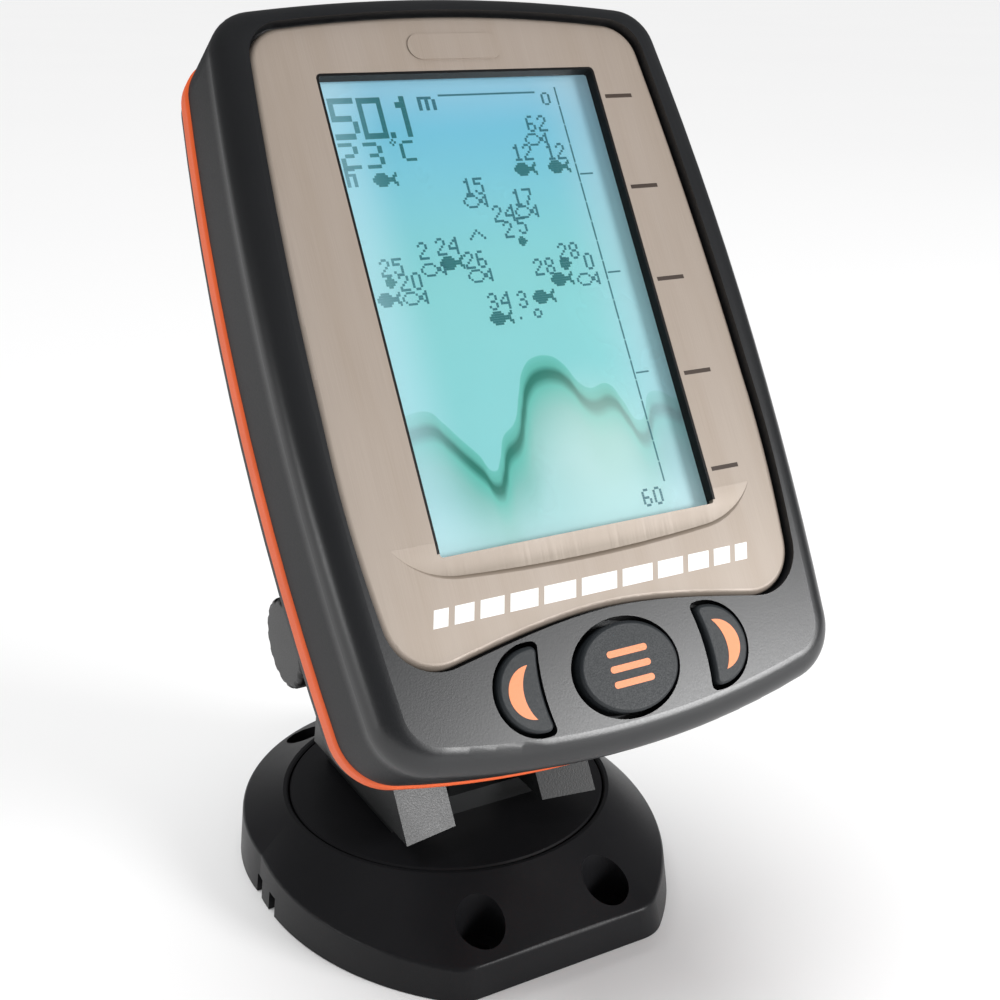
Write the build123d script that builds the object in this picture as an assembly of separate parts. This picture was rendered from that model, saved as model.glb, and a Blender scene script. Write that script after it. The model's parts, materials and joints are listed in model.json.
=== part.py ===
from build123d import *
import math
import os

# Portable fish finder: a sonar display on a tilting, swivelling foot.
# Row frame, millimetres: +Z up, the display faces -Y, and the origin is the centre of the
# base's underside, on the swivel axis.
#
# The display head is drawn lying flat: X across, Y up its face, Z out of the screen towards
# the reader, with the screen's surface at Z = 0. HEAD then stands it up, leaning back.

# ---- driving dimensions -------------------------------------------------------------------
BASE_CREASE_Z = 10.0          # top of the base's wall, abreast of the swivel axis
CREASE_DIP = 3.0              # degrees by which the wall's top runs down to the nose
BASE_TOP_Z = 18.0             # top of the turntable
TURNTABLE_R = 38.0
WALL_DRAFT = 1.0              # how much wider the base is at its foot
SCREW_HOLE_R = 2.3            # mounting screws in the base
COUNTERBORE_R = 5.4
FRONT_HOLES = (16.0, -46.6)
REAR_HOLES = (20.0, 40.5)

PIVOT_Y = 6.0                 # tilt axis, along X
PIVOT_Z = 60.5
LEG_OUT = 24.6
LEG_IN = 11.4
LEG_FOOT_Z = 23.0
LEG_TOP_R = 9.5
BOLT_R = 3.0
RUN_FIT = 0.05                # radial running clearance
YOKE_SCREWS = [(x, y) for x in (-7.5, 7.5) for y in (-10.0, 17.0)]

LEAN = 32.14                  # display's lean back from upright, degrees
SCREEN_CENTRE = (0.0, -30.12, 142.65)
SCREEN_W = 62.0
SCREEN_H = 95.6
CASE_FRONT = 4.0
CASE_R_TOP = 9.5              # corner radii of the case's outline
CASE_R_LOW = 12.5
SEAM = -17.6                  # where the front case ends
SEAL_T = 5.0
REAR_LIP = 3.0
REAR_BACK = -48.0
WALL = 2.5
CEILING = -1.2                # underside of the front wall
BEZEL_LOW = 0.9
BEZEL_TOP = 2.5
RIM_W = 0.5                   # black rim that the window frame shows on three sides
BOARD_FRONT = -12.0
BOARD_T = 1.6
BUTTON_Y = -75.2
KEY_TRAVEL = 1.0
KEY_FLANGE_TOP = -1.5
KEY_FLANGE_LOW = -3.0
KEY_STEM_LOW = -5.0

HEAD = Location(SCREEN_CENTRE, (90.0 - LEAN, 0, 0))
NODES = {}


# ---- helpers ------------------------------------------------------------------------------
def keep(name, *shapes):
    """File one node; several shapes make a group of separate solids."""
    NODES[name] = shapes[0] if len(shapes) == 1 else Compound(children=list(shapes))


def keep_head(name, *shapes):
    keep(name, *[shape.moved(HEAD) for shape in shapes])


def prism(sketch, low, high):
    return extrude(Pos(0, 0, low) * sketch, amount=high - low, dir=(0, 0, 1))


def rod(x, y, radius, low, high):
    """A cylinder along Z between two heights."""
    return Pos(x, y, (low + high) / 2) * Cylinder(radius, high - low)


def rod_x(radius, low, high, y=PIVOT_Y, z=PIVOT_Z):
    """A cylinder along X between two stations, on the tilt axis unless told otherwise."""
    return Pos((low + high) / 2, y, z) * Rot(0, 90, 0) * Cylinder(radius, high - low)


def block(x, y, z):
    """A box from three (low, high) pairs."""
    size = [pair[1] - pair[0] for pair in (x, y, z)]
    middle = [(pair[1] + pair[0]) / 2 for pair in (x, y, z)]
    return Pos(*middle) * Box(*size)


def four(x, y):
    return [(sx * x, sy * y) for sx in (-1, 1) for sy in (-1, 1)]


def to_head(y, z):
    """Row-frame (y, z) as the head's own (Y, Z)."""
    lean = math.radians(LEAN)
    dy = y - SCREEN_CENTRE[1]
    dz = z - SCREEN_CENTRE[2]
    return (dy * math.sin(lean) + dz * math.cos(lean), dz * math.sin(lean) - dy * math.cos(lean))


# ---- base ---------------------------------------------------------------------------------
def base_outline(grow=0.0):
    """Round at the back, narrowing to a straight front edge."""
    side = (47.5 + grow, 2.0)
    nose = (23.5 + grow, -54.4 - grow)
    edges = [
        ThreePointArc(side, (0, 53.0 + grow), (-side[0], side[1])),
        ThreePointArc((-side[0], side[1]), (-43.0 - grow, -29.0), (-nose[0], nose[1])),
        Line((-nose[0], nose[1]), nose),
        ThreePointArc(nose, (43.0 + grow, -29.0), side),
    ]
    sketch = make_face(edges)
    return fillet([v for v in sketch.vertices() if v.Y < -50], 9.0)


def circle_like(wire, radius, z):
    """A circle cut into arcs that match a wire's edges, so that a loft runs straight."""
    def on_circle(point):
        angle = math.atan2(point.Y, point.X)
        return (radius * math.cos(angle), radius * math.sin(angle), z)
    arcs = [ThreePointArc(*[on_circle(edge @ t) for t in (0, 0.5, 1)]) for edge in wire.edges()]
    return Wire(arcs)


def base_body():
    foot = base_outline(WALL_DRAFT).face().outer_wire()
    crease = Pos(0, 0, BASE_CREASE_Z) * Rot(CREASE_DIP, 0, 0) * base_outline().face().outer_wire()
    wall = Solid.make_loft([foot, crease], True)
    slope = Solid.make_loft([crease, circle_like(crease, TURNTABLE_R + 1.6, BASE_TOP_Z)], True)
    body = wall + slope
    ridge = [edge for edge in body.edges() if 5 < edge.center().Z < 14]
    return fillet(ridge, 1.2)


def base_underside():
    """A ring of pockets that lightens the moulding, between radial ribs."""
    ring = rod(0, 0, 35.0, -1, 6.5) - rod(0, 0, 19.5, -1, 6.5)
    for index in range(6):
        ring -= Rot(0, 0, 60 * index + 30) * block((0, 40), (-1.2, 1.2), (-1, 7))
    return ring


def make_base():
    body = base_body() - base_underside()
    body -= rod(0, 0, TURNTABLE_R + 0.4, 13.7, 20)
    rings = body.edges().filter_by(GeomType.CIRCLE).group_by(Axis.Z)[-1]
    body = chamfer(rings.sort_by(SortBy.RADIUS)[0], 0.4)
    body -= rod(0, 0, 16.5, -1, 4.0)
    body -= rod(0, 0, 12.0 + RUN_FIT, 3, 15)
    for x, y in [(side * x, y) for x, y in (FRONT_HOLES, REAR_HOLES) for side in (-1, 1)]:
        body -= rod(x, y, SCREW_HOLE_R, -1, 20) + rod(x, y, COUNTERBORE_R, 4.5, 20)
    for y in (-6.5, 1.5):
        for side in (-1, 1):
            body -= block(sorted((side * 45.5, side * 50)), (y - 1.6, y + 1.6), (-1, 4.6))
    keep("base_plate", body)


# ---- turntable and yoke -------------------------------------------------------------------
def make_turntable():
    disc = rod(0, 0, TURNTABLE_R, 14.0, BASE_TOP_Z) + rod(0, 0, 12.0, 3.7, 14.0)
    disc = chamfer(disc.edges().group_by(Axis.Z)[-1], 0.4)
    disc -= rod(0, 0, BOLT_R + RUN_FIT, 3, BASE_TOP_Z - 1)
    for x, y in YOKE_SCREWS:
        disc -= rod(x, y, 1.5, 15.5, 19)
    keep("turntable", disc)
    keep("turntable_washer", rod(0, 0, 15.5, 2.3, 3.7) - rod(0, 0, BOLT_R + 0.2, 2, 4))
    keep("turntable_bolt", rod(0, 0, BOLT_R, 2.3, 16.5) + prism(RegularPolygon(5.0, 6), 0.5, 2.3))


def leg_front_cutter(side):
    """Everything in front of a leg's leaning, slightly toed-in front face."""
    lean = math.radians(LEAN)
    outer = Vector(side * LEG_OUT, -28.6, LEG_FOOT_Z)
    inner = Vector(side * LEG_IN, -26.4, LEG_FOOT_Z)
    along = (inner - outer).normalized()
    normal = along.cross(Vector(0, math.sin(lean), math.cos(lean))).normalized()
    if normal.Y > 0:
        normal = -normal
    return Plane(origin=outer, x_dir=along, z_dir=normal) * Pos(0, 0, 30) * Box(200, 200, 60)


def make_leg(side):
    profile = Polyline((-40, LEG_FOOT_Z), (24, LEG_FOOT_Z), (PIVOT_Y + LEG_TOP_R, PIVOT_Z),
                       (PIVOT_Y - LEG_TOP_R, PIVOT_Z), close=True)
    slab = Plane.YZ * make_face(profile)
    low, high = sorted((side * LEG_OUT, side * LEG_IN))
    leg = extrude(Pos(low, 0, 0) * slab, amount=high - low, dir=(1, 0, 0))
    leg = leg + rod_x(LEG_TOP_R, low, high)
    return leg - leg_front_cutter(side)


def make_yoke():
    yoke = make_leg(-1) + make_leg(1)
    yoke += block((-22, 22), (-15, 22), (BASE_TOP_Z, LEG_FOOT_Z + 0.01))
    yoke -= rod_x(BOLT_R + RUN_FIT, -30, 30)
    nut_pocket = Plane.YZ * RegularPolygon(5.9, 6)
    yoke -= extrude(Pos(19.2, PIVOT_Y, PIVOT_Z) * nut_pocket, amount=8, dir=(1, 0, 0))
    for x, y in YOKE_SCREWS:
        yoke -= rod(x, y, 1.5, 15, 25)
    keep("yoke", yoke)
    nut = extrude(Pos(19.3, PIVOT_Y, PIVOT_Z) * (Plane.YZ * RegularPolygon(5.75, 6)),
                  amount=5.0, dir=(1, 0, 0))
    keep("tilt_nut", nut - rod_x(BOLT_R + RUN_FIT, 15, 30))
    keep("yoke_screws", *[rod(x, y, 1.45, 16, 23.02) + rod(x, y, 2.6, 23.02, 24.6)
                          - prism(Pos(x, y) * RegularPolygon(1.3, 6), 23.6, 25)
                          for x, y in YOKE_SCREWS])
    keep("friction_washers", *[rod_x(8.5, *sorted((side * 10.0, side * 11.3)))
                               - rod_x(BOLT_R + 0.25, -12, 12) for side in (-1, 1)])


def make_knob():
    grip = Circle(10.5)
    for index in range(16):
        grip -= Rot(0, 0, 22.5 * index) * Pos(11.3, 0) * Circle(1.25)
    knob = extrude(Pos(-38.4, PIVOT_Y, PIVOT_Z) * (Plane.YZ * grip), amount=11.0, dir=(1, 0, 0))
    rim = knob.edges().filter_by(lambda edge: abs(edge.center().X + 38.4) < 0.01)
    knob = fillet(rim, 1.2)
    knob += rod_x(7.0, -27.5, -26.0)
    knob -= rod_x(BOLT_R, -34.0, -20)
    keep("tilt_knob", knob)
    keep("tilt_bolt", rod_x(BOLT_R, -34.0, 23.5))
    keep("knob_washer", rod_x(6.6, -25.9, -24.8) - rod_x(BOLT_R + 0.15, -30, -20))


# ---- display head: outlines ---------------------------------------------------------------
def case_outline(inset=0.0):
    """Tall rounded shield, wider in the middle, its foot gently bowed."""
    top_right = (49.3 - inset, 61.7 - inset)
    low_right = (50.6 - inset, -83.6 + inset)
    mirror = [(-x, y) for x, y in (top_right, low_right)]
    edges = [
        ThreePointArc(mirror[0], (0, 65.2 - inset), top_right),
        ThreePointArc(top_right, (54.1 - inset, -16), low_right),
        ThreePointArc(low_right, (0, -90.4 + inset), mirror[1]),
        ThreePointArc(mirror[1], (-54.1 + inset, -16), mirror[0]),
    ]
    sketch = make_face(edges)
    sketch = fillet([v for v in sketch.vertices() if v.Y > 0], max(CASE_R_TOP - inset, 5.0))
    return fillet(sketch.vertices().sort_by(Axis.Y)[:2], max(CASE_R_LOW - inset, 5.0))


def bezel_outline(grow=0.0):
    """The face plate: straight sides drawn in below, and an arched foot over the buttons."""
    shoulder = (43.4 + grow, 57.4 + grow)
    hip = (47.5 + grow, -22)
    heel = (44.2 + grow, -69.6 - grow)
    bow = (28.0, -66.5 - grow)
    half = [
        ThreePointArc(shoulder, (46.5 + grow, 15), hip),
        ThreePointArc(hip, (46.9 + grow, -48), heel),
    ]
    edges = [ThreePointArc((-shoulder[0], shoulder[1]), (0, 60.5 + grow), shoulder)]
    edges += half + [edge.mirror(Plane.YZ) for edge in half]
    edges.append(Spline(heel, bow, (0, -63.2 - grow), (-bow[0], bow[1]), (-heel[0], heel[1])))
    sketch = make_face(edges)
    sketch = fillet([v for v in sketch.vertices() if v.Y > 40], 8.0)
    return fillet(sketch.vertices().sort_by(Axis.Y)[:2], 10.5)


def crescent(side, grow=0.0):
    """A cursor key: bowed outwards, and hollowed round the menu key."""
    top = (side * (17.9 - grow), -67.4 + grow)
    low = (side * (18.2 - grow), -82.9 - grow)
    edges = [
        ThreePointArc(top, (side * (27.8 + grow), -75.3), low),
        ThreePointArc(low, (side * (19.0 - grow), -75.2), top),
    ]
    sketch = make_face(edges)
    return fillet(sketch.vertices(), 1.2)


def crescent_inlay(side):
    top = (side * 20.8, -70.4)
    low = (side * 21.4, -80.4)
    return make_face([ThreePointArc(top, (side * 25.9, -75.5), low),
                      ThreePointArc(low, (side * 22.9, -75.5), top)])


def window():
    return RectangleRounded(SCREEN_W, SCREEN_H, 0.6)


def rim_outline(grow):
    """The window's rim, above and at the sides; below, the plate comes right up to the glass."""
    low = -46.5 - grow
    high = SCREEN_H / 2 + grow
    sketch = Pos(0, (low + high) / 2) * Rectangle(SCREEN_W + 2 * grow, high - low)
    return fillet([v for v in sketch.vertices() if v.Y > 0], 0.6 + grow)


def lens_plate(grow=0.0):
    return RectangleRounded(SCREEN_W + 6 + 2 * grow, SCREEN_H + 6 + 2 * grow, 2 + grow)


# ---- display head: shells -----------------------------------------------------------------
CASE_SCREWS = [(side * x, y) for side in (-1, 1) for x, y in ((44.8, 44.0), (46.8, -16.0), (43.0, -74.5))]
BOARD_SCREWS = [(side * 39.6, y) for side in (-1, 1) for y in (50.0, -60.0)]
SOCKETS = {"power": (-23.0, -14.0), "sonar": (23.0, -14.0)}
SOCKET_HOLE_R = 8.0


def make_front_case():
    shell = prism(case_outline(), SEAM, CASE_FRONT)
    shell = fillet(shell.edges().group_by(Axis.Z)[-1], 5.2)
    shell -= prism(case_outline(WALL), SEAM - 1, CEILING)
    shell -= prism(bezel_outline(0.35), BEZEL_LOW, CASE_FRONT + 5)
    shell -= prism(lens_plate(0.2), -5, 5)
    shell -= prism(Pos(0, BUTTON_Y) * Ellipse(12.0, 9.7), -5, 8)
    for side in (-1, 1):
        shell -= prism(crescent(side, 0.8), -5, 8)
    for x, y in CASE_SCREWS:
        shell += rod(x, y, 2.9, SEAM + 0.6, CEILING + 0.5)
    for x, y in BOARD_SCREWS:
        shell += rod(x, y, 2.6, BOARD_FRONT, CEILING + 0.5)
    for x, y in CASE_SCREWS:
        shell -= rod(x, y, 1.45, SEAM - 1, -7.5)
    for x, y in BOARD_SCREWS:
        shell -= rod(x, y, 1.25, BOARD_FRONT - 1, -5.5)
    keep_head("front_case", shell)


def rear_shell_solid(inset):
    """The rear case's outside, or with an inset the space inside it."""
    lip = SEAM - SEAL_T - REAR_LIP
    rim = case_outline(0.4 + inset).face().outer_wire()
    back = case_outline(12.0 + inset).face().outer_wire()
    taper = Solid.make_loft([Pos(0, 0, REAR_BACK + inset) * back, Pos(0, 0, lip) * rim], True)
    top = SEAM - SEAL_T + (1 if inset else 0)
    return taper + prism(case_outline(0.4 + inset), lip, top)


def knuckle_profile():
    """Side view of the hinge knuckle: a web from the back wall to a round eye."""
    py, pz = to_head(PIVOT_Y, PIVOT_Z)
    web = make_face(Polyline((-78, REAR_BACK + 3), (-30, REAR_BACK + 3), (py + 9.5, pz),
                             (py - 9.5, pz), close=True))
    return web + Pos(py, pz) * Circle(9.5)


def make_rear_case():
    outer = rear_shell_solid(0)
    outer = fillet(outer.edges().group_by(Axis.Z)[0], 4.0)
    shell = outer - rear_shell_solid(WALL)
    for x, y in CASE_SCREWS:
        shell += rod(x, y, 4.6, -60, SEAM - SEAL_T - 0.2) & outer
    shell += extrude(Pos(-9.6, 0, 0) * (Plane.YZ * knuckle_profile()), amount=19.2, dir=(1, 0, 0))
    for x, y in CASE_SCREWS:
        shell -= rod(x, y, 1.7, -60, SEAM) + rod(x, y, 3.3, -60, -30)
    for x, y in SOCKETS.values():
        shell -= rod(x, y, SOCKET_HOLE_R, -60, -40)
    py, pz = to_head(PIVOT_Y, PIVOT_Z)
    shell -= rod_x(5.0, -12, 12, py, pz)
    keep_head("rear_case", shell)
    bush = rod_x(5.0, -9.8, 9.8, py, pz) - rod_x(BOLT_R + RUN_FIT, -12, 12, py, pz)
    keep_head("knuckle_bush", bush)


def make_case_trim():
    seal = prism(case_outline(-0.45), SEAM - SEAL_T, SEAM)
    seal = fillet(seal.edges().group_by(Axis.Z)[0] + seal.edges().group_by(Axis.Z)[-1], 1.1)
    keep_head("case_seal", seal - prism(case_outline(WALL), SEAM - SEAL_T - 1, SEAM + 1))
    screws = [rod(x, y, 1.4, -30, -8) + rod(x, y, 2.9, -32, -30)
              - prism(Pos(x, y) * RegularPolygon(1.4, 6), -33, -31) for x, y in CASE_SCREWS]
    keep_head("case_screws", *screws)


# ---- display head: face plate and window --------------------------------------------------
TICK_Y = [41.5 - 20.6 * index for index in range(5)]
TICK_X = (32.6, 39.3)
TICK_W = 0.9
STRIPE_Y = (-60.2, -56.9)
STRIPE_SLANT = 1.0
SCOOP_TOP_Y = -43.5           # where the hollow under the window starts to fall away
SCOOP_DEPTH = 1.4


def tick_slots(low, high):
    return [block(TICK_X, (y - TICK_W / 2, y + TICK_W / 2), (low, high)) for y in TICK_Y]


def stripe_bars(low, high):
    """A row of plain slanted bars under the window, growing longer towards the middle."""
    bars = []
    x = -36.0
    for length in (3, 4, 5, 6, 7, 8, 7, 6, 5, 4, 3):
        corners = [(x, STRIPE_Y[0]), (x + length, STRIPE_Y[0]),
                   (x + length + STRIPE_SLANT, STRIPE_Y[1]), (x + STRIPE_SLANT, STRIPE_Y[1])]
        bars.append(prism(make_face(Polyline(*corners, close=True)), low, high))
        x += length + 1.3
    return bars


def scoop():
    """A shallow hollow under the window: its floor bends away down to a slanted wall."""
    ear = (41.0, -44.6)
    toe = (28.4, -52.5)
    mirror = [(-x, y) for x, y in (ear, toe)]
    lip = make_face([
        Line(mirror[0], ear),
        ThreePointArc(ear, (36.2, -49.6), toe),
        ThreePointArc(toe, (0, -53.7), mirror[1]),
        ThreePointArc(mirror[1], (-36.2, -49.6), mirror[0]),
    ])
    bowl = extrude(Pos(0, 0, BEZEL_TOP + 0.2) * lip, amount=1.8, dir=(0, 0, -1), taper=45)
    low = BEZEL_TOP - SCOOP_DEPTH
    above = make_face([
        ThreePointArc((SCOOP_TOP_Y, BEZEL_TOP), (-48.9, BEZEL_TOP - SCOOP_DEPTH / 4), (-54.4, low)),
        Polyline((-54.4, low), (-54.4, 5), (SCOOP_TOP_Y, 5), (SCOOP_TOP_Y, BEZEL_TOP)),
    ])
    return bowl & extrude(Pos(-60, 0, 0) * (Plane.YZ * above), amount=120, dir=(1, 0, 0))


def make_bezel():
    plate = prism(bezel_outline(), BEZEL_LOW, BEZEL_TOP)
    plate = fillet(plate.edges().group_by(Axis.Z)[-1], 1.3)
    plate -= prism(rim_outline(RIM_W + 0.05), -5, 5) + prism(window(), -5, 5)
    plate -= scoop()
    for slot in tick_slots(2.1, 3) + stripe_bars(2.1, 3):
        plate -= slot
    keep_head("bezel_plate", plate)
    keep_head("depth_marks", *tick_slots(2.1, BEZEL_TOP - 0.05))
    keep_head("stripe_marks", *stripe_bars(2.1, BEZEL_TOP + 0.02))
    keep_head("emblem", prism(Pos(0, 53.5) * SlotOverall(21, 5.5), BEZEL_TOP, BEZEL_TOP + 0.3))


def make_window():
    frame = prism(lens_plate(), 0.0, BEZEL_LOW) + prism(rim_outline(RIM_W), 0.0, BEZEL_TOP - 0.05)
    keep_head("window_frame", frame - prism(window(), -1, 3) - scoop())
    keep_head("window_lens", prism(lens_plate(), -1.4, 0.0))


# ---- display head: electronics ------------------------------------------------------------
def make_display():
    keep_head("lcd_panel", block((-34, 34), (-51, 51), (-3.4, -1.5)))
    keep_head("backlight", block((-34, 34), (-51, 51), (-6.6, -3.5)))
    holder = block((-36.2, 36.2), (-53.2, 53.2), (-8.0, -2.0))
    holder -= block((-34.3, 34.3), (-51.3, 51.3), (-6.7, 0))
    keep_head("lcd_holder", holder)
    ribbon = block((-14, 14), (-58.5, -53.3), (-5.6, -5.2))
    ribbon += block((-14, 14), (-58.5, -58.1), (-11.9, -5.2))
    keep_head("display_ribbon", ribbon)


def make_board():
    board = prism(Pos(0, -10.5) * RectangleRounded(84, 136, 4), BOARD_FRONT - BOARD_T, BOARD_FRONT)
    for x, y in BOARD_SCREWS:
        board -= rod(x, y, 1.6, -20, 0)
    for x, y in CASE_SCREWS:
        board -= rod(x, y, 3.4, -20, 0)
    keep_head("main_board", board)
    back = BOARD_FRONT - BOARD_T
    chips = [(-8, 12, 22, 22, 2.2), (18, 20, 10, 14, 1.6), (-26, 30, 12, 8, 1.6), (24, -6, 8, 8, 3.2),
             (-24, -42, 16, 12, 6.0), (8, -40, 9, 9, 5.0), (24, -46, 7, 14, 3.0)]
    keep_head("board_parts", *[block((x - w / 2, x + w / 2), (y - h / 2, y + h / 2), (back - t, back))
                               for x, y, w, h, t in chips])
    keep_head("buzzer", rod(-26, 8, 6, back - 4.5, back) - rod(-26, 8, 1, back - 5, back - 3))
    keep_head("board_screws", *[rod(x, y, 1.2, back, -6) + rod(x, y, 2.3, back - 1.6, back)
                                for x, y in BOARD_SCREWS])
    keep_head("key_switches", *[block((x - 3, x + 3), (BUTTON_Y - 3, BUTTON_Y + 3), (BOARD_FRONT, -8.4))
                                + rod(x, BUTTON_Y, 1.6, -8.4, -7.4) for x in (-21.5, 0, 21.5)])
    mat = prism(Pos(0, BUTTON_Y) * RectangleRounded(62, 17, 3), -7.3, -6.3)
    for x in (-21.5, 0, 21.5):
        mat -= rod(x, BUTTON_Y, 4.4, -8, -6.7)
    for x, y in four(29.0, 6.5):
        mat += rod(x, BUTTON_Y + y, 1.5, BOARD_FRONT, -6.8)
    keep_head("key_mat", mat)


# ---- display head: buttons ----------------------------------------------------------------
def button(top_sketch, flange_sketch, top, centre):
    key = prism(top_sketch, KEY_FLANGE_LOW, top)
    key = fillet(key.edges().group_by(Axis.Z)[-1], 0.7)
    key += prism(flange_sketch, KEY_FLANGE_LOW, KEY_FLANGE_TOP)
    return key + rod(centre[0], centre[1], 2.6, KEY_STEM_LOW, KEY_FLANGE_LOW)


def menu_icon(low, high):
    """Three bars: the usual sign for a menu."""
    return [prism(Pos(0, BUTTON_Y + dy) * SlotOverall(9.0, 1.3), low, high) for dy in (-2.9, 0, 2.9)]


def make_buttons():
    centre = (0, BUTTON_Y)
    key = button(Pos(*centre) * Ellipse(10.8, 8.6), Pos(*centre) * Ellipse(12.6, 10.4), 5.6, centre)
    for cut in menu_icon(5.1, 7):
        key -= cut
    keep_head("menu_button", key)
    keep_head("menu_icon", *menu_icon(5.1, 5.65))
    for name, side in (("left", -1), ("right", 1)):
        centre = (side * 22.5, BUTTON_Y)
        key = button(crescent(side), crescent(side, 1.5), 4.9, centre)
        key -= prism(crescent_inlay(side), 4.4, 6)
        keep_head(name + "_button", key)
        keep_head(name + "_arrow", prism(crescent_inlay(side), 4.4, 4.95))


# ---- display head: sockets ----------------------------------------------------------------
def make_sockets():
    for name, (x, y) in SOCKETS.items():
        body = rod(x, y, 7.9, -56.0, -38.0) + rod(x, y, 10.5, -51.2, REAR_BACK - 0.8)
        body -= rod(x, y, 5.6, -57, -47.5)
        contacts = [rod(x + 2.6 * math.cos(a), y + 2.6 * math.sin(a), 0.7, -47.5, -36.5)
                    for a in [math.radians(120 * k + 90) for k in range(3)]]
        for contact in contacts:
            body -= contact
        keep_head(name + "_socket", body)
        keep_head(name + "_contacts", *contacts)
    spots = list(SOCKETS.values())
    keep_head("socket_seals", *[rod(x, y, 10.2, REAR_BACK - 0.8, REAR_BACK)
                                - rod(x, y, 7.95, -60, -40) for x, y in spots])
    keep_head("socket_nuts", *[prism(Pos(x, y) * (RegularPolygon(11.0, 6) - Circle(7.95)), -45.4, -41.5)
                               for x, y in spots])


def main():
    make_base()
    make_turntable()
    make_yoke()
    make_knob()
    make_front_case()
    make_rear_case()
    make_case_trim()
    make_bezel()
    make_window()
    make_display()
    make_board()
    make_buttons()
    make_sockets()
    os.makedirs("parts", exist_ok=True)
    for name, shape in NODES.items():
        shape.label = name
        export_step(shape, f"parts/{name}.step")
    print(len(NODES), "nodes")


main()
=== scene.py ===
import bmesh
import bpy
import json
import math
from mathutils import Euler, Matrix, Vector


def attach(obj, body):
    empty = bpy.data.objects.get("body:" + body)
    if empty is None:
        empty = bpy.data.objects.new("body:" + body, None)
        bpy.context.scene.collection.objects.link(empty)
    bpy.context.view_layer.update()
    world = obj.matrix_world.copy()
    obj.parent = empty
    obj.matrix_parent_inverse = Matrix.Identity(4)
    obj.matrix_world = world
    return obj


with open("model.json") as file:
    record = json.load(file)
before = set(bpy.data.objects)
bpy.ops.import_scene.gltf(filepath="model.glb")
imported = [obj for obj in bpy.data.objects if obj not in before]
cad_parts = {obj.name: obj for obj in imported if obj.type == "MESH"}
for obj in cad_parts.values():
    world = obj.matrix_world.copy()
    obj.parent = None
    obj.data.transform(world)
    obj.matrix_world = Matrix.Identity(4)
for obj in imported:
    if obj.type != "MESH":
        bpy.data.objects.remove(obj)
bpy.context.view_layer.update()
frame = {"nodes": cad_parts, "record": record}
NODES = frame["nodes"]

# ---- places and sizes --------------------------------------------------------------------
MM = 0.001
LEAN = math.radians(32.14)                    # the display's lean back from upright
SCREEN = Vector((0.0, -0.03012, 0.14265))     # centre of the screen, in the row frame
HEAD_TURN = Euler((math.pi / 2 - LEAN, 0.0, 0.0))
# head's own millimetres (x across, y up the face, z towards the reader) to the row frame
HEAD = Matrix.Translation(SCREEN) @ HEAD_TURN.to_matrix().to_4x4() @ Matrix.Scale(MM, 4)
SCREEN_W = 62.0
LCD_TOP = -1.5                                # the panel's face
INK_LOW = LCD_TOP + 0.004
INK_TOP = -1.45
DOT_GAP = 0.03                                # between the display's dots
BED_DEPTH = 48.0                              # span of the sounding chart, down from the middle
# where the painted glare of the softbox's reflection lies on the screen, and how far it spreads
PAINTED_GLARE_AT = (11.0, -33.0)
PAINTED_GLARE_R = 17.0
SIDE_Z = -5.0                                 # the shell's rounded edge, from its side ...
FACE_Z = 1.5                                  # ... to its face
FLOOR_R = 14.0
HOLLOW_PAINTED_SHADE = 0.85                           # how far the painted shade darkens the lacquer in the hollow
VIEW_HEADING = math.radians(29.74)            # the camera looks across from the display's left
VIEW_DIP = math.radians(20.25)
VIEW_ROLL = math.radians(0.73)
CAMERA_AT = (-0.1425, -0.2741, 0.2046)
LENS_MM = 52.1
SUN_STRENGTH = 2.3
SUN_SPREAD = math.radians(60.0)


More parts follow.
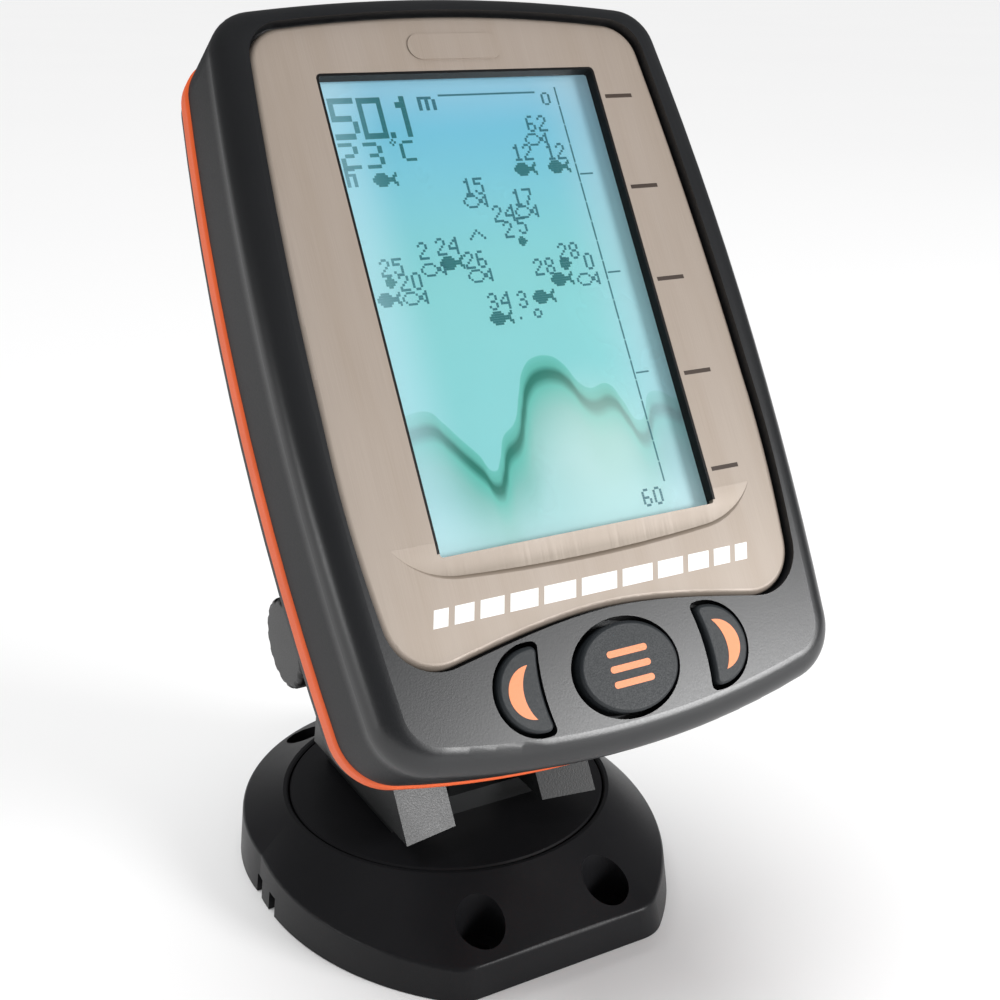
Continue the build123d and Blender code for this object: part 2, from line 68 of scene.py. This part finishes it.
# ---- node helpers ------------------------------------------------------------------------
class Shader:
    """A material's node tree, with short ways to add what the finishes need."""

    def __init__(self, name):
        self.material = bpy.data.materials.new(name)
        self.material.use_nodes = True
        self.tree = self.material.node_tree
        self.tree.nodes.clear()
        self.output = self.add("ShaderNodeOutputMaterial")
        self.coords = self.add("ShaderNodeTexCoord").outputs["Object"]

    def add(self, kind, **settings):
        node = self.tree.nodes.new(kind)
        for key, value in settings.items():
            setattr(node, key, value)
        return node

    def link(self, source, target):
        self.tree.links.new(source, target)

    def put(self, socket, value):
        """Set a socket to a constant, or link it to another socket."""
        if hasattr(value, "links"):
            self.link(value, socket)
        else:
            socket.default_value = value

    def math(self, operation, a, b=0.0):
        node = self.add("ShaderNodeMath", operation=operation)
        self.put(node.inputs[0], a)
        self.put(node.inputs[1], b)
        return node.outputs[0]

    def noise(self, scale, detail=3.0, roughness=0.55, coords=None, stretch=None):
        node = self.add("ShaderNodeTexNoise")
        node.inputs["Scale"].default_value = scale
        node.inputs["Detail"].default_value = detail
        node.inputs["Roughness"].default_value = roughness
        source = coords or self.coords
        if stretch:
            mapping = self.add("ShaderNodeMapping")
            mapping.inputs["Scale"].default_value = stretch
            self.link(source, mapping.inputs["Vector"])
            source = mapping.outputs[0]
        self.link(source, node.inputs["Vector"])
        return node.outputs["Fac"]

    def ramp(self, value, low, high, to_low=0.0, to_high=1.0, smooth=True):
        node = self.add("ShaderNodeMapRange")
        node.interpolation_type = "SMOOTHSTEP" if smooth else "LINEAR"
        self.put(node.inputs["Value"], value)
        for name, number in (("From Min", low), ("From Max", high), ("To Min", to_low), ("To Max", to_high)):
            node.inputs[name].default_value = number
        return node.outputs["Result"]

    def mix(self, factor, first, second, blend="MIX"):
        node = self.add("ShaderNodeMix", data_type="RGBA", blend_type=blend)
        self.put(node.inputs["Factor"], factor)
        self.put(node.inputs["A"], first if hasattr(first, "links") else (*first[:3], 1.0))
        self.put(node.inputs["B"], second if hasattr(second, "links") else (*second[:3], 1.0))
        return node.outputs["Result"]

    def bump(self, height, strength, distance):
        node = self.add("ShaderNodeBump")
        node.inputs["Strength"].default_value = strength
        node.inputs["Distance"].default_value = distance
        self.link(height, node.inputs["Height"])
        return node.outputs["Normal"]

    def head_xyz(self):
        """The head's own coordinates in millimetres, as three sockets."""
        turn = HEAD_TURN.to_matrix().transposed()
        mapping = self.add("ShaderNodeMapping")
        mapping.inputs["Scale"].default_value = (1 / MM,) * 3
        mapping.inputs["Rotation"].default_value = turn.to_euler()
        mapping.inputs["Location"].default_value = -(turn @ SCREEN) / MM
        self.link(self.coords, mapping.inputs["Vector"])
        split = self.add("ShaderNodeSeparateXYZ")
        self.link(mapping.outputs[0], split.inputs[0])
        return split.outputs

    def flat(self, x, y):
        """The head's x and y as one vector, for patterns that lie along its face."""
        joined = self.add("ShaderNodeCombineXYZ")
        self.link(x, joined.inputs[0])
        self.link(y, joined.inputs[1])
        return joined.outputs[0]

    def surface(self, **inputs):
        """The principled shader, wired to the output; names are its sockets'."""
        shader = self.add("ShaderNodeBsdfPrincipled")
        for name, value in inputs.items():
            socket = shader.inputs[name.replace("_", " ")]
            if isinstance(value, tuple) and len(value) == 3:
                value = (*value, 1.0)
            self.put(socket, value)
        self.link(shader.outputs[0], self.output.inputs["Surface"])
        return self.material


def srgb(red, green, blue):
    """A colour as the eye's 0-255 values, made linear."""
    def linear(value):
        value /= 255.0
        return value / 12.92 if value <= 0.04045 else ((value + 0.055) / 1.055) ** 2.4
    return (linear(red), linear(green), linear(blue))


# ---- materials ---------------------------------------------------------------------------
def plastic(name, colour, roughness, grain=2600.0, depth=0.00006, specular=0.5, mottle=0.12):
    """Moulded plastic: a fine spark-eroded grain, with a slow drift in tone and gloss."""
    s = Shader(name)
    drift = s.noise(28.0, 3.0)
    fine = s.noise(grain, 2.0, 0.6)
    shade = s.ramp(drift, 0.3, 0.7, 1.0 - mottle, 1.0 + mottle)
    tone = s.add("ShaderNodeHueSaturation")
    s.link(shade, tone.inputs["Value"])
    tone.inputs["Color"].default_value = (*colour, 1.0)
    rough = s.math("ADD", s.ramp(drift, 0.25, 0.75, roughness - 0.04, roughness + 0.04),
                   s.ramp(fine, 0.3, 0.7, -0.03, 0.03))
    return s.surface(Base_Color=tone.outputs[0], Roughness=rough, Specular_IOR_Level=specular,
                     Normal=s.bump(fine, 0.35, depth))


def case_finish():
    """The shell's charcoal plastic: satin on its face, duller down its sides."""
    s = Shader("case_plastic")
    _, _, z = s.head_xyz()
    fine = s.noise(2600.0, 2.0, 0.6)
    drift = s.noise(28.0, 3.0)
    base = s.mix(s.ramp(drift, 0.3, 0.7), srgb(25, 26, 28), srgb(29, 30, 32))
    rough = s.math("ADD", s.ramp(z, SIDE_Z, FACE_Z, 0.46, 0.32), s.ramp(fine, 0.3, 0.7, -0.02, 0.02))
    shine = s.ramp(z, SIDE_Z, FACE_Z, 0.14, 0.60)
    return s.surface(Base_Color=base, Roughness=rough, Specular_IOR_Level=shine,
                     Normal=s.bump(fine, 0.3, 0.00003))


def face_lacquer():
    """Champagne lacquer over a fine straight brushing that runs up the face, with painted shade in the
    hollow below the screen.
    """
    s = Shader("face_lacquer")
    x, y, z = s.head_xyz()
    local = s.flat(x, y)
    streak = s.noise(1.0, 5.0, 0.7, local, (9.0, 0.05, 1.0))
    broad = s.noise(1.0, 2.0, 0.5, local, (0.12, 0.012, 1.0))
    flake = s.noise(9000.0, 1.0)
    # painted reflection: the lacquer is a shade lighter towards the bottom of the face
    height = s.ramp(y, -70.0, 60.0, 0.0, 1.0, smooth=False)
    base = s.mix(height, srgb(161, 149, 138), srgb(159, 147, 137))
    base = s.mix(s.ramp(broad, 0.35, 0.65, 0.0, 0.45), base, srgb(150, 136, 122))
    base = s.mix(s.ramp(streak, 0.3, 0.7, 0.0, 0.16), base, srgb(196, 182, 170))
    # painted shade: the lacquer is darkened in the hollow below the screen, more where the hollow is deeper
    across = s.ramp(s.math("ABSOLUTE", x), 40.5, 42.5, 1.0, 0.0)
    hollow = s.math("MULTIPLY", across, s.ramp(y, -56.0, -54.5))
    hollow = s.math("MULTIPLY", hollow, s.ramp(z, 1.75, 2.49, HOLLOW_PAINTED_SHADE, 0.0, smooth=False))
    base = s.mix(hollow, base, srgb(108, 96, 82))
    rough = s.ramp(streak, 0.3, 0.7, 0.36, 0.46)
    normal = s.bump(s.math("ADD", streak, s.math("MULTIPLY", flake, 0.4)), 0.10, 0.00002)
    return s.surface(Base_Color=base, Metallic=0.15, Roughness=rough, Normal=normal,
                     Specular_IOR_Level=0.4)


def rubber(name, colour, roughness=0.55):
    s = Shader(name)
    fine = s.noise(3500.0, 2.0)
    drift = s.noise(60.0, 2.0)
    base = s.mix(s.ramp(drift, 0.3, 0.7, 0.0, 0.3), colour, tuple(c * 0.72 for c in colour))
    return s.surface(Base_Color=base, Roughness=s.ramp(fine, 0.3, 0.7, roughness - 0.05, roughness + 0.06),
                     Specular_IOR_Level=0.4, Normal=s.bump(fine, 0.3, 0.00005))


def metal(name, colour, roughness, stretch=(1.0, 1.0, 1.0)):
    """Turned or drawn metal, with faint tool marks."""
    s = Shader(name)
    marks = s.noise(1500.0, 3.0, 0.6, stretch=stretch)
    tarnish = s.noise(160.0, 3.0)
    base = s.mix(s.ramp(tarnish, 0.35, 0.7, 0.0, 0.35), colour, tuple(c * 0.7 for c in colour))
    return s.surface(Base_Color=base, Metallic=1.0,
                     Roughness=s.ramp(marks, 0.3, 0.7, roughness - 0.06, roughness + 0.08),
                     Normal=s.bump(marks, 0.2, 0.00003))


def board_finish():
    """Solder mask with copper traces showing faintly under it."""
    s = Shader("board_finish")
    x, y, _ = s.head_xyz()
    traces = s.add("ShaderNodeTexBrick")
    traces.inputs["Scale"].default_value = 0.55
    traces.inputs["Mortar Size"].default_value = 0.03
    s.link(s.flat(x, y), traces.inputs["Vector"])
    base = s.mix(traces.outputs["Fac"], srgb(16, 84, 48), srgb(38, 122, 74))
    return s.surface(Base_Color=base, Roughness=0.38, Normal=s.bump(traces.outputs["Fac"], 0.3, 0.00005))


# The sounding chart: the sea bed's height along the screen, in the head's millimetres.
SEA_BED = ((-31.0, -20.2), (-27.8, -19.3), (-24.2, -19.4), (-21.9, -21.8), (-19.0, -25.6), (-16.0, -29.3),
           (-13.6, -32.8), (-12.0, -31.0), (-9.8, -26.3), (-6.9, -24.2), (-4.2, -18.6), (-1.6, -13.4),
           (1.0, -11.6), (5.0, -11.7), (7.6, -13.8), (9.9, -17.8), (12.0, -19.3), (16.3, -18.9),
           (19.0, -23.0), (21.7, -27.5), (26.0, -22.0), (31.0, -24.0))


def screen_colour(s):
    """The lit display's ground: sky blue above, teal below, the sea bed, a painted glare where the low
    softbox reflects, and painted reflections paling its edges.
    """
    x, y, _ = s.head_xyz()
    high = s.ramp(y, 2.0, 46.0)
    base = s.mix(high, srgb(140, 205, 207), srgb(120, 192, 216))
    base = s.mix(s.ramp(y, 36.0, 48.0), base, srgb(150, 200, 221))
    curve = s.add("ShaderNodeFloatCurve")
    points = curve.mapping.curves[0].points
    span = [(px / SCREEN_W + 0.5, py / BED_DEPTH + 1.0) for px, py in SEA_BED]
    points[0].location = span[0]
    points[1].location = span[-1]
    for place in span[1:-1]:
        points.new(*place)
    curve.mapping.update()
    s.link(s.ramp(x, -31.0, 31.0, 0.0, 1.0, smooth=False), curve.inputs["Value"])
    bed = s.math("SUBTRACT", s.math("MULTIPLY", curve.outputs[0], BED_DEPTH), BED_DEPTH)
    under = s.math("SUBTRACT", bed, y)
    steps = s.add("ShaderNodeValToRGB")
    ramp = steps.color_ramp
    stops = ((0.0, (140, 205, 207)), (0.012, (108, 190, 182)), (0.10, (92, 176, 164)),
             (0.16, (24, 114, 100)), (0.215, (28, 120, 106)), (0.30, (96, 184, 172)),
             (0.52, (128, 186, 180)), (1.0, (150, 197, 198)))
    while len(ramp.elements) < len(stops):
        ramp.elements.new(0.5)
    for element, (place, colour) in zip(ramp.elements, stops):
        element.position = place
        element.color = (*srgb(*colour), 1.0)
    s.link(s.ramp(under, 0.0, 22.0, 0.0, 1.0, smooth=False), steps.inputs[0])
    base = s.mix(s.ramp(under, -0.3, 0.4), base, steps.outputs[0])
    # painted reflection: a soft pale glare of the low softbox, painted into the screen's colour
    dx, dy = [s.math("DIVIDE", s.math("SUBTRACT", socket, middle), PAINTED_GLARE_R)
              for socket, middle in zip((x, y), PAINTED_GLARE_AT)]
    painted_glare_distance = s.math("SQRT", s.math("ADD", s.math("MULTIPLY", dx, dx), s.math("MULTIPLY", dy, dy)))
    base = s.mix(s.ramp(painted_glare_distance, 0.15, 1.25, 0.50, 0.0), base, srgb(214, 232, 228))
    # painted reflection: the screen is washed paler towards its left, right and bottom edges
    base = s.mix(s.ramp(x, -31.0, -17.0, 0.55, 0.0), base, srgb(200, 230, 241))
    base = s.mix(s.ramp(x, 15.0, 31.0, 0.0, 0.55), base, srgb(186, 212, 224))
    return s.mix(s.ramp(y, -47.8, -35.0, 0.35, 0.0), base, srgb(210, 236, 238))


def screen_finish():
    s = Shader("screen_finish")
    colour = screen_colour(s)
    return s.surface(Base_Color=colour, Roughness=0.5, Specular_IOR_Level=0.2,
                     Emission_Color=colour, Emission_Strength=0.40)


def ink_finish(name, colour, strength):
    """Liquid-crystal ink: darkens the ground behind it, less so towards the left edge, where a painted
    reflection washes it out.
    """
    s = Shader(name)
    ground = screen_colour(s)
    x, _, _ = s.head_xyz()
    # painted reflection: the ink is weaker towards the left edge
    amount = s.math("MULTIPLY", s.ramp(x, -31.0, -16.0, 0.62, 1.0), strength)
    colour = s.mix(amount, ground, colour)
    return s.surface(Base_Color=colour, Roughness=0.5, Specular_IOR_Level=0.2,
                     Emission_Color=colour, Emission_Strength=0.34)


def clear_lens():
    """Hard-coated window: clear, with a sharp reflection that grows at a slant."""
    s = Shader("clear_lens")
    clear = s.add("ShaderNodeBsdfTransparent")
    clear.inputs["Color"].default_value = (0.97, 0.99, 0.99, 1.0)
    gloss = s.add("ShaderNodeBsdfGlossy")
    smear = s.noise(40.0, 4.0)
    s.link(s.ramp(smear, 0.4, 0.75, 0.22, 0.30), gloss.inputs["Roughness"])
    fresnel = s.add("ShaderNodeFresnel")
    fresnel.inputs["IOR"].default_value = 1.45
    blend = s.add("ShaderNodeMixShader")
    s.link(fresnel.outputs[0], blend.inputs[0])
    s.link(clear.outputs[0], blend.inputs[1])
    s.link(gloss.outputs[0], blend.inputs[2])
    s.link(blend.outputs[0], s.output.inputs["Surface"])
    return s.material


def make_materials():
    return {
        "case_plastic": case_finish(),
        "rear_plastic": plastic("rear_plastic", srgb(26, 27, 28), 0.50, depth=0.0001),
        "face_paint": face_lacquer(),
        "seal_rubber": rubber("seal_rubber", srgb(236, 100, 46), 0.5),
        "legend_orange": plastic("legend_orange", srgb(236, 140, 88), 0.45, mottle=0.05),
        "key_rubber": rubber("key_rubber", srgb(34, 38, 41), 0.5),
        "mark_dark": plastic("mark_dark", srgb(58, 46, 38), 0.6),
        "mark_white": plastic("mark_white", srgb(246, 246, 244), 0.35, mottle=0.02),
        "frame_black": plastic("frame_black", srgb(9, 9, 10), 0.55, specular=0.3),
        "clear_lens": clear_lens(),
        "lcd": screen_finish(),
        "light_guide": plastic("light_guide", srgb(235, 238, 240), 0.3, mottle=0.03),
        "holder_plastic": plastic("holder_plastic", srgb(96, 98, 100), 0.5),
        "board_green": board_finish(),
        "chip_black": plastic("chip_black", srgb(28, 28, 30), 0.45),
        "flex_amber": plastic("flex_amber", srgb(190, 130, 40), 0.3),
        "silicone": rubber("silicone", srgb(150, 152, 156), 0.45),
        "steel": metal("steel", (0.58, 0.58, 0.6), 0.28),
        "dark_steel": metal("dark_steel", (0.045, 0.045, 0.05), 0.4),
        "brass": metal("brass", (0.72, 0.52, 0.22), 0.3),
        "contact_gold": metal("contact_gold", (0.85, 0.62, 0.25), 0.2),
        "base_plastic": plastic("base_plastic", srgb(28, 28, 30), 0.38, specular=0.2),
        "yoke_plastic": plastic("yoke_plastic", srgb(38, 39, 40), 0.40, depth=0.0001),
        "knob_plastic": plastic("knob_plastic", srgb(10, 10, 12), 0.42),
        "washer_nylon": plastic("washer_nylon", srgb(222, 219, 206), 0.4, mottle=0.04),
    }


def finish_nodes(materials):
    for part in frame["record"]["subparts"]:
        mesh = NODES[part["node"]].data
        mesh.materials.clear()
        mesh.materials.append(materials[part["material_slot"]])


# ---- screen figures ----------------------------------------------------------------------
PIXEL = 0.53
GLYPHS = {
    "0": "0110 1001 1001 1001 1001 1001 0110", "1": "0010 0110 0010 0010 0010 0010 0111",
    "2": "0110 1001 0001 0010 0100 1000 1111", "3": "0110 1001 0001 0110 0001 1001 0110",
    "4": "0001 0011 0101 1001 1111 0001 0001", "5": "1111 1000 1110 0001 0001 1001 0110",
    "6": "0110 1000 1000 1110 1001 1001 0110", "7": "1111 0001 0001 0010 0010 0100 0100",
    "8": "0110 1001 1001 0110 1001 1001 0110",
}
TALL_GLYPHS = {
    "5": "11111 10000 10000 11110 00001 00001 11110", "0": "11111 10001 10001 10001 10001 10001 11111",
    "1": "01 11 01 01 01 01 01", "2": "1110 0001 0001 0110 1000 1000 1111",
    "3": "1110 0001 0001 0110 0001 0001 1110", ".": "0 0 0 0 0 0 1",
    "m": "00000 00000 11110 10101 10101 10101 10101", "c": "0111 1000 1000 1000 1000 1000 0111",
    "o": "010 101 010", "n": "1110 1000 1110 1010 1010 1010 1010",
}
FISH = "00111100001 01111110011 11111111110 11111111110 01111110011 00111100001"
FISH_LINE = "00111100001 01000010011 10000001101 10000001101 01000010011 00111100001"
SMALL_FISH = "01100 11110 11111 11110 01100"
CHEVRON = "0001000 0010100 0100010 1000001"
RING = "0110 1001 1001 0110"


class Piece:
    """Collects closed blocks and prisms in the head's millimetres, then makes one object."""

    def __init__(self, name):
        self.name = name
        self.mesh = bmesh.new()

    def prism(self, outline, low, high):
        count = len(outline)
        bottom = [self.mesh.verts.new((x, y, low)) for x, y in outline]
        top = [self.mesh.verts.new((x, y, high)) for x, y in outline]
        self.mesh.faces.new(bottom[::-1])
        self.mesh.faces.new(top)
        for i in range(count):
            j = (i + 1) % count
            self.mesh.faces.new((bottom[i], bottom[j], top[j], top[i]))

    def block(self, x0, x1, y0, y1, low, high):
        self.prism(((x0, y0), (x1, y0), (x1, y1), (x0, y1)), low, high)

    def done(self, material, body):
        data = bpy.data.meshes.new(self.name)
        self.mesh.to_mesh(data)
        self.mesh.free()
        data.transform(HEAD)
        obj = bpy.data.objects.new(self.name, data)
        bpy.context.scene.collection.objects.link(obj)
        data.materials.append(material)
        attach(obj, body)
        return obj


def stamp(piece, bitmap, x, y, width, height):
    """Lay a bitmap of lit dots down, centred on (x, y); each run along a row is one block."""
    rows = bitmap.split()
    dot_w = width / len(rows[0])
    dot_h = height / len(rows)
    for r, row in enumerate(rows):
        top = y + height / 2 - r * dot_h
        start = None
        for c, lit in enumerate(row + "0"):
            if lit == "1" and start is None:
                start = c
            if lit == "0" and start is not None:
                left = x - width / 2
                piece.block(left + start * dot_w, left + c * dot_w - DOT_GAP,
                            top - dot_h + DOT_GAP, top, INK_LOW, INK_TOP)
                start = None


def number(piece, text, x, y, tall=3.7):
    width = 4 * PIXEL
    pitch = width + PIXEL * 1.1
    left = x - pitch * (len(text) - 1) / 2
    for i, letter in enumerate(text):
        stamp(piece, GLYPHS[letter], left + i * pitch, y, width, tall)


def make_figures():
    dark = Piece("chart_dark_figures")
    faint = Piece("chart_faint_figures")
    readings = (("5", -26.0, 40.7, 5.4, 8.8), ("0", -20.0, 40.6, 5.2, 8.8), (".", -16.4, 40.6, 1.1, 8.8),
                ("1", -13.3, 40.7, 2.3, 8.8), ("2", -26.8, 32.9, 3.9, 5.5), ("3", -21.6, 32.8, 3.9, 5.5),
                ("o", -17.0, 35.3, 1.4, 1.5), ("c", -14.2, 33.4, 3.1, 4.4))
    for letter, x, y, width, height in readings:
        stamp(dark, TALL_GLYPHS[letter], x, y, width, height)
    for letter, x, y, width, height in (("m", -7.3, 43.9, 4.0, 4.2), ("n", -27.3, 28.4, 3.0, 3.9)):
        stamp(faint, TALL_GLYPHS[letter], x, y, width, height)
    numbers = (("62", 16.7, 37.9), ("12", 11.4, 31.7), ("12", 19.3, 31.5), ("15", -2.0, 25.0),
               ("17", 8.5, 22.0), ("24", 3.3, 18.8), ("2", 3.4, 15.3), ("5", 6.8, 15.9),
               ("2", -16.6, 12.4), ("24", -11.2, 12.9), ("26", -5.8, 9.6), ("25", -24.1, 9.6),
               ("20", -20.9, 6.4), ("28", 15.9, 9.6), ("28", 9.3, 6.8), ("0", 20.1, 7.0),
               ("34", -3.0, 0.6), ("3", 2.3, 0.4))
    for text, x, y in numbers:
        number(faint, text, x, y)
    for x, y in ((-20.6, 27.6), (11.2, 28.0), (19.3, 28.1), (-11.0, 9.4), (12.7, 3.8), (7.4, 0.5),
                 (-3.4, -2.9)):
        stamp(dark, FISH, x, y, 5.3, 2.9)
    stamp(faint, FISH, -26.2, 3.2, 5.0, 2.9)
    for x, y in ((15.6, 34.4), (-2.3, 21.8), (8.7, 18.8), (-15.4, 8.4), (-5.6, 6.2), (-20.8, 3.0),
                 (18.8, 3.2)):
        stamp(faint, FISH_LINE, x, y, 5.4, 2.8)
    for x, y, size in ((6.1, 12.6, 2.1), (-24.9, 6.6, 2.4), (14.6, 7.0, 2.8)):
        stamp(dark, SMALL_FISH, x, y, size, size)
    stamp(faint, CHEVRON, -3.9, 14.8, 3.7, 2.2)
    stamp(faint, RING, 5.0, -2.8, 2.0, 2.0)
    stamp(faint, "1", 0.9, -3.4, 0.5, 0.6)
    number(faint, "60", 19.7, -43.6)
    number(faint, "0", 20.6, 43.4, 2.9)
    faint.block(-4.4, 18.3, 44.75, 45.15, INK_LOW, INK_TOP)
    y = 46.0
    while y > -41.0:
        faint.block(23.25, 23.6, y - 4.1, y, INK_LOW, INK_TOP)
        y -= 4.36
    for y in (26.0, 4.0, -18.0):
        faint.block(23.9, 27.0, y, y + 0.35, INK_LOW, INK_TOP)
    dark.done(ink_finish("ink_dark", srgb(24, 104, 108), 0.92), "head")
    faint.done(ink_finish("ink_faint", srgb(26, 98, 110), 0.88), "head")


# ---- stage -------------------------------------------------------------------------------
def make_stage():
    """A wide, plain, pale floor."""
    mesh = bmesh.new()
    bmesh.ops.create_circle(mesh, cap_ends=True, segments=96, radius=FLOOR_R)
    bmesh.ops.translate(mesh, verts=mesh.verts, vec=(0.0, 0.0, -0.0002))
    data = bpy.data.meshes.new("floor")
    mesh.to_mesh(data)
    mesh.free()
    floor = bpy.data.objects.new("floor", data)
    bpy.context.scene.collection.objects.link(floor)
    s = Shader("floor_paper")
    grain = s.noise(900.0, 2.0)
    tone = s.mix(s.ramp(s.noise(1.5, 2.0), 0.3, 0.7, 0.0, 0.3), (0.93, 0.93, 0.93), (0.91, 0.91, 0.915))
    data.materials.append(s.surface(Base_Color=tone, Roughness=0.8, Specular_IOR_Level=0.1,
                                    Normal=s.bump(grain, 0.05, 0.0001)))


def area_light(name, place, target, size, power):
    data = bpy.data.lights.new(name, "AREA")
    data.shape = "RECTANGLE"
    data.size, data.size_y = size
    data.energy = power
    lamp = bpy.data.objects.new(name, data)
    bpy.context.scene.collection.objects.link(lamp)
    lamp.location = place
    lamp.rotation_euler = (Vector(target) - Vector(place)).to_track_quat("-Z", "Y").to_euler()


def make_lights():
    """A wide light overhead that no reflection shows, a low softbox, and a strip on the left."""
    sun = bpy.data.lights.new("overhead_dome", "SUN")
    sun.energy = SUN_STRENGTH
    sun.angle = SUN_SPREAD
    overhead = bpy.data.objects.new("overhead_dome", sun)
    overhead.rotation_euler = (math.radians(-12.0), math.radians(-8.0), 0.0)
    overhead.visible_glossy = False
    bpy.context.scene.collection.objects.link(overhead)
    middle = (0.0, -0.02, 0.10)
    area_light("low_front_softbox", (0.60, -0.92, 0.40), middle, (0.42, 0.26), 9.2)
    area_light("left_strip", (-1.1, 0.02, 0.14), middle, (0.40, 0.10), 1.1)
    make_world(0.30, 0.45, 1.0)


def make_world(ambient, mirrored, backdrop):
    """A dim white surround, dimmer still in reflections, that the lens sees as a bright backdrop."""
    world = bpy.data.worlds.new("studio")
    world.use_nodes = True
    tree = world.node_tree
    background = tree.nodes["Background"]
    background.inputs["Color"].default_value = (1.0, 1.0, 1.0, 1.0)
    path = tree.nodes.new("ShaderNodeLightPath")
    level = tree.nodes.new("ShaderNodeMapRange")
    level.inputs["To Min"].default_value = ambient
    level.inputs["To Max"].default_value = backdrop
    tree.links.new(path.outputs["Is Camera Ray"], level.inputs["Value"])
    dim = tree.nodes.new("ShaderNodeMapRange")
    dim.inputs["To Min"].default_value = 1.0
    dim.inputs["To Max"].default_value = mirrored
    tree.links.new(path.outputs["Is Glossy Ray"], dim.inputs["Value"])
    strength = tree.nodes.new("ShaderNodeMath")
    strength.operation = "MULTIPLY"
    tree.links.new(level.outputs["Result"], strength.inputs[0])
    tree.links.new(dim.outputs["Result"], strength.inputs[1])
    tree.links.new(strength.outputs[0], background.inputs["Strength"])
    bpy.context.scene.world = world


# ---- camera ------------------------------------------------------------------------------
def make_camera():
    heading, dip, roll = VIEW_HEADING, VIEW_DIP, VIEW_ROLL
    ahead = Vector((math.sin(heading), math.cos(heading), 0.0))
    forward = ahead * math.cos(dip) - Vector((0, 0, 1)) * math.sin(dip)
    right = Vector((math.cos(heading), -math.sin(heading), 0.0))
    up = right.cross(forward)
    right, up = right * math.cos(roll) + up * math.sin(roll), up * math.cos(roll) - right * math.sin(roll)
    data = bpy.data.cameras.new("camera")
    data.sensor_width = 36.0
    data.lens = LENS_MM
    data.clip_start = 0.01
    camera = bpy.data.objects.new("camera", data)
    bpy.context.scene.collection.objects.link(camera)
    turn = Matrix((right, up, -forward)).transposed().to_4x4()
    camera.matrix_world = Matrix.Translation(CAMERA_AT) @ turn
    bpy.context.scene.camera = camera


def main():
    materials = make_materials()
    finish_nodes(materials)
    make_figures()
    make_stage()
    make_lights()
    make_camera()
    bpy.context.scene.view_settings.view_transform = "Standard"


main()
